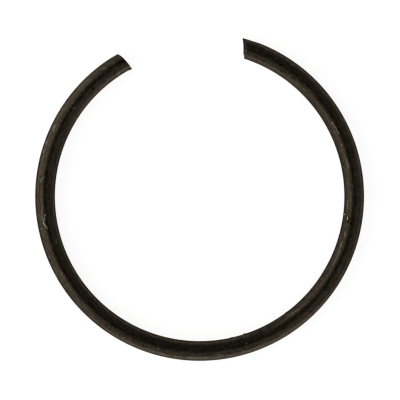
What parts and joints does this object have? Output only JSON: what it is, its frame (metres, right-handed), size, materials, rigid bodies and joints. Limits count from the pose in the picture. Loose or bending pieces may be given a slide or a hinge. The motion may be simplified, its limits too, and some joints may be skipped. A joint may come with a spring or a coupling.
{
  "type": "retaining ring",
  "caption": "Open ring of round spring wire with sheared ends, that snaps into a groove in a bore to hold a bearing or pin in place.",
  "frame": {"origin": "centre of the ring, halfway up the wire", "axes": "+Z along the ring's axis, +Y towards the middle of the gap, +X across the gap"},
  "size_m": [0.033, 0.0318, 0.002],
  "materials": {
    "oxide_spring_steel": "brown-black oxide on drawn spring wire, lightly oiled"
  },
  "bodies": {
    "root": {"snap_ring": "oxide_spring_steel"}
  },
  "joints": []
}
